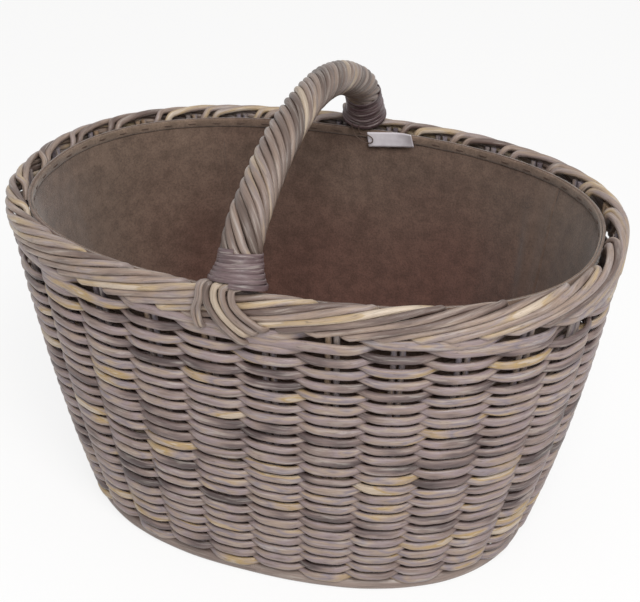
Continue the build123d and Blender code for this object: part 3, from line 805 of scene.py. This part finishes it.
# Lining: four panels of brown felt round the inside of the wall, lapped at
# upright seams, and a felt pad on the floor of the basket inside them.
felt_thick, felt_off, felt_slack = 0.002, 0.0102, 0.0004
felt_low, felt_high = 0.0137, 0.2592
felt_levels, felt_columns = 44, 330
lean_low, lean_tall, lean_out = 0.234, 0.014, 0.0016
fold_deep, fold_base_share = 0.0016, 0.6
seam_turns = (-60, 40, 120, 220)
seam_columns = (-0.0008, 0.0, 0.0008, 0.0015, 0.003, 0.005)
lap_thick, lap_edge, lap_wide, pucker_wide = 0.0010, 0.0015, 0.013, 0.006
crease_turn, crease_slant, crease_wide = 49, 30, 1.6
crease_height, crease_reach, crease_in, crease_out = 0.19, 0.06, 0.0022, 0.0014
seam_runs = [min(rim_table, key=lambda entry: abs(entry[0] - radians(turn)))[1] for turn in seam_turns]


def felt_finish(name, light, dark, red):
    """Pressed wool felt: a soft fibre mat, cloudy, with painted shade (darker, redder) low down and painted
    light at the ends.
    """
    material, tree, shader = new_finish(name)
    place = add_node(tree, "TexCoord").outputs["Object"]

    def away(axis, scale):
        """Distance from the basket's middle, or from the floor, along one axis."""
        split = add_node(tree, "SeparateXYZ", {0: place})
        distance = add_node(tree, "Math", {0: split.outputs[axis]}, operation="ABSOLUTE")
        return maths(tree, "MULTIPLY", distance.outputs[0], scale)

    colour = colour_of(tree, grain_of(tree, place, 14.0, 4.0), [(0.32, dark), (0.68, light)])
    # Painted shade: darker and redder towards the bottom of the basket's inside.
    painted_shade_low = colour_of(tree, away(2, 4.0), [(0.30, grey(0.85)), (0.92, grey(0.12))])
    colour = mixed(tree, painted_shade_low, colour, red)
    blush = colour_of(tree, grain_of(tree, place, 5.0, 2.0), [(0.45, grey(0.0)), (0.68, grey(0.5))])
    colour = mixed(tree, blush, colour, red)
    # Painted light: the lining made lighter towards both ends of the oval.
    ends = colour_of(tree, away(0, 5.0), [(0.70, grey(0.0)), (1.0, grey(0.75))])
    colour = mixed(tree, ends, colour, light)
    mat = grain_of(tree, place, 620.0, 5.0, 0.7)
    speck = colour_of(tree, mat, [(0.34, (0.66, 0.65, 0.64)), (0.52, grey(1.0)), (0.70, (1.26, 1.24, 1.20))])
    colour = mixed(tree, 0.8, colour, speck, "MULTIPLY")
    patch_grain = grain_of(tree, place, 95.0, 3.0, 0.6)
    patch = colour_of(tree, patch_grain, [(0.34, (0.80, 0.79, 0.78)), (0.64, (1.15, 1.14, 1.13))])
    colour = mixed(tree, 0.9, colour, patch, "MULTIPLY")
    surface(tree, shader, colour, mat, strength=0.6, depth=0.0008, roughness=0.95, specular=0.1)
    shader.inputs["Sheen Weight"].default_value = 0.35
    shader.inputs["Sheen Roughness"].default_value = 0.5
    return material


def felt_lean(height):
    """How far the felt leans out over its last centimetres, to meet the border."""
    share = min(1.0, max(0.0, (height - lean_low) / lean_tall))
    return lean_out * share * share * (3 - 2 * share)


def felt_place(run, height):
    """Where the felt's outer face is: soft folds, a lap at each seam and one upright crease."""
    turn = turn_at(run)
    share = min(1.0, max(0.0, (height - felt_low) / (felt_high - felt_low)))
    hold = sin(pi * share) ** 0.6
    fold = ripple_round(turn, 4.5, height * 3) + 0.4 * ripple_round(turn, 11, height * 9)
    past = min(((run - seam + rim_length / 2) % rim_length - rim_length / 2 for seam in seam_runs), key=abs)
    lap = min(1.0, past / lap_edge) * max(0.0, 1 - past / lap_wide) if past > 0 else 0.0
    pucker = 0.3 * sin(height * 420) * max(0.0, 1 - abs(past) / pucker_wide)
    from_crease = turn * 180 / pi - crease_turn - crease_slant * (height - crease_height)
    from_crease /= crease_wide
    crumple = crease_in * 2 ** -((from_crease + 1) ** 2) - crease_out * 2 ** -((from_crease - 0.6) ** 2)
    inward = felt_off + felt_slack + fold_deep * hold * (fold_base_share + fold)
    inward += lap_thick * hold ** 0.5 * lap * (1 + pucker)
    inward += crumple * hold * max(0.0, 1 - abs(height - crease_height) / crease_reach)
    return wall_place(turn, height, felt_lean(height) - max(inward, felt_off + felt_slack / 4))[0]


def cut_felt(columns, rows, place_of):
    """A sheet of felt over a grid, with each corner's place by its column and row."""
    work = bmesh.new()
    made = bmesh.ops.create_grid(work, x_segments=columns, y_segments=rows, size=1.0)["verts"]
    for number, vert in enumerate(made):
        vert.co = place_of(number % (columns + 1), number // (columns + 1))
    bmesh.ops.remove_doubles(work, verts=work.verts, dist=merge_reach)
    bmesh.ops.recalc_face_normals(work, faces=work.faces)
    bmesh.ops.solidify(work, geom=work.faces[:], thickness=felt_thick)
    return work


felt = felt_finish("lining_felt", tint(114, 98, 87), tint(98, 82, 73), tint(106, 74, 66))
felt_runs = sorted({round(rim_length * column / felt_columns, 6) for column in range(felt_columns)} | {
    round((seam + past) % rim_length, 6) for seam in seam_runs for past in seam_columns
})
felt_runs.append(felt_runs[0] + rim_length)


def wall_felt_place(column, row):
    return felt_place(felt_runs[column], felt_low + (felt_high - felt_low) * row / felt_levels)


work = cut_felt(len(felt_runs) - 1, felt_levels, wall_felt_place)
lining = hand_over(work, "felt_wall", felt, "lining_felt", "lining_wall")

pad_rings, pad_columns = 14, 168
pad_lift, pad_swell = 0.0002, 0.0004
felt_edge = felt_off + felt_thick + clearance


def pad_felt_place(column, ring):
    """A place on the pad, swelling a little towards its middle."""
    reach = ring / pad_rings
    edge = wall_place(turn_at(rim_length * column / pad_columns), felt_low, -felt_edge)[0]
    place = Vector((edge.x * reach, edge.y * reach, felt_low + pad_lift))
    place.z += pad_swell * (1 + noise.noise(place * 30)) * (1 - reach ** 4)
    return place


pad = hand_over(
    cut_felt(pad_columns, pad_rings, pad_felt_place), "felt_floor", felt, "lining_felt", "lining_floor")


# Hem: the felt's top edge folded inward and sewn down, a shade lighter than the lining.
hem_high, hem_tall, hem_thick = felt_high, 0.007, 0.0014
hem_steps, hem_sides, hem_wander, hem_swell, hem_tuck = 336, 14, 0.0004, 1.15, 0.0004
hem_lean = felt_lean(hem_high) - hem_tuck
hem_felt = felt_finish("hem_felt", tint(124, 108, 95), tint(106, 90, 79), tint(114, 86, 76))
line = []
for step in range(hem_steps):
    turn = turn_at(rim_length * step / hem_steps)
    height = hem_high - hem_tall / 2 + hem_wander * ripple_round(turn, 8, 2.0)
    point, way, out = wall_place(turn, height, hem_lean - felt_edge - hem_thick / 2)
    line.append((point, out, hem_tall, hem_thick * hem_swell))
work = new_work()
lay_cane(work, line, hem_sides, 0.5, closed=True)
hem = hand_over(work, "felt_hem", hem_felt, "hem_felt", "lining_hem")


# Hem stitches: brown sewing thread through the hem, one short bar at a time,
# two to each pair of stakes. Each bar bows a little and thins towards its ends.
stitch_long, stitch_thick, stitch_proud, stitch_bow = 0.007, 0.0010, 0.0003, 0.0002
stitch_steps, stitch_sides = 6, 6
sewing_thread, thread_tree, thread_shader = new_finish("sewing_thread")
thread_ply = add_node(thread_tree, "TexWave", {
    "Vector": add_node(thread_tree, "TexCoord").outputs["Object"], "Scale": 900.0, "Distortion": 2.0,
})
thread_colour = colour_of(thread_tree, thread_ply.outputs["Fac"], [
    (0.0, tint(64, 48, 41)), (1.0, tint(92, 74, 64)),
])
thread_tree.links.new(thread_colour, thread_shader.inputs["Base Color"])
thread_shader.inputs["Roughness"].default_value = 0.7

work = new_work()
dice = Random(77)
for number in range(stake_count * 2):
    line = []
    for step in range(stitch_steps + 1):
        share = step / stitch_steps
        run = number * stake_spacing / 2 + (share - 0.5) * stitch_long
        proud = stitch_proud + stitch_bow * sin(pi * share)
        point, way, out = wall_place(
            turn_at(run), hem_high - hem_tall / 2, hem_lean - felt_edge - hem_thick - proud)
        girth = stitch_thick * (0.45 + 0.55 * sin(pi * min(1, max(0, share * 0.94 + 0.03))) ** 0.5)
        line.append((point, out, girth, girth))
    lay_cane(work, line, stitch_sides, dice.random())
stitches = hand_over(work, "hem_thread", sewing_thread, "sewing_thread", "hem_stitches")


# Swing tag: a small blank paper card, curled at its free end, which hangs
# inside the rim at the back foot of the handle.
tag_long, tag_wide, tag_thick, tag_tilt = 0.040, 0.013, 0.0005, radians(8)
tag_drop, tag_gap, tag_foot_gap = 0.0105, 0.0028, 0.006
tag_curl, curl_start, tag_twist = 0.0052, 0.05, 0.0006
tag_off = felt_edge + hem_thick + tag_gap
tag_run = rim_length / 2 - tag_foot_gap - tag_long / 2
tag_middle, tag_way, tag_out = wall_place(turn_at(tag_run), border_top - tag_drop, -tag_off)
tag_paper, paper_tree, paper_shader = new_finish("tag_paper")
paper_grain = grain_of(paper_tree, add_node(paper_tree, "TexCoord").outputs["Object"], 180.0, 5.0)
paper_colour = colour_of(paper_tree, paper_grain, [(0.0, tint(196, 188, 196)), (1.0, tint(232, 228, 232))])
surface(
    paper_tree, paper_shader, paper_colour, paper_grain,
    strength=0.25, depth=0.0002, roughness=0.6, specular=0.5,
)

work = bmesh.new()
made = bmesh.ops.create_grid(work, x_segments=28, y_segments=8, size=1.0)["verts"]
for vert in made:
    along, up = vert.co.x / 2, vert.co.y / 2
    x = tag_long * along * cos(tag_tilt) - tag_wide * up * sin(tag_tilt)
    z = tag_long * along * sin(tag_tilt) + tag_wide * up * cos(tag_tilt)
    curl = tag_curl * max(0.0, along - curl_start) ** 2 * 4 * (0.7 + up) + tag_twist * (0.5 + along) * up
    vert.co = tag_middle - tag_way * x - tag_out * curl + Vector((0, 0, z))
bmesh.ops.recalc_face_normals(work, faces=work.faces)
bmesh.ops.solidify(work, geom=work.faces[:], thickness=tag_thick)
tag = hand_over(work, "paper_tag", tag_paper, "tag_paper", "tag_card")


# Tag thread: a thin dark string in one loop, from the back binding through the
# tag's end and back. It is soft and hangs by its own weight.
thread_thick = 0.0009
thread_route = [
    (-0.00772, 0.13321, 0.26588),
    (-0.00856, 0.13377, 0.26027),
    (-0.0050, 0.1332, 0.2548),
    (0.0006, 0.1326, 0.2514),
    (0.0060, 0.1324, 0.2498),
    (0.0106, 0.1324, 0.2512),
    (0.0102, 0.1325, 0.2554),
    (0.0054, 0.1326, 0.2574),
    (0.0006, 0.1325, 0.2578),
    (-0.0022, 0.13244, 0.25954),
    (-0.00187, 0.13213, 0.26522),
]
thread_curve = bpy.data.curves.new("tag_string", "CURVE")
thread_curve.dimensions = "3D"
thread_curve.bevel_depth = thread_thick / 2
thread_curve.bevel_resolution = 3
spline = thread_curve.splines.new("NURBS")
spline.points.add(len(thread_route) - 1)
for point, place in zip(spline.points, thread_route):
    point.co = (*place, 1.0)
spline.order_u = 3
spline.use_endpoint_u = True
thread_curve.materials.append(sewing_thread)
thread = bpy.data.objects.new("tag_string", thread_curve)
scene.collection.objects.link(thread)
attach(thread, "root")
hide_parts("tag_thread")
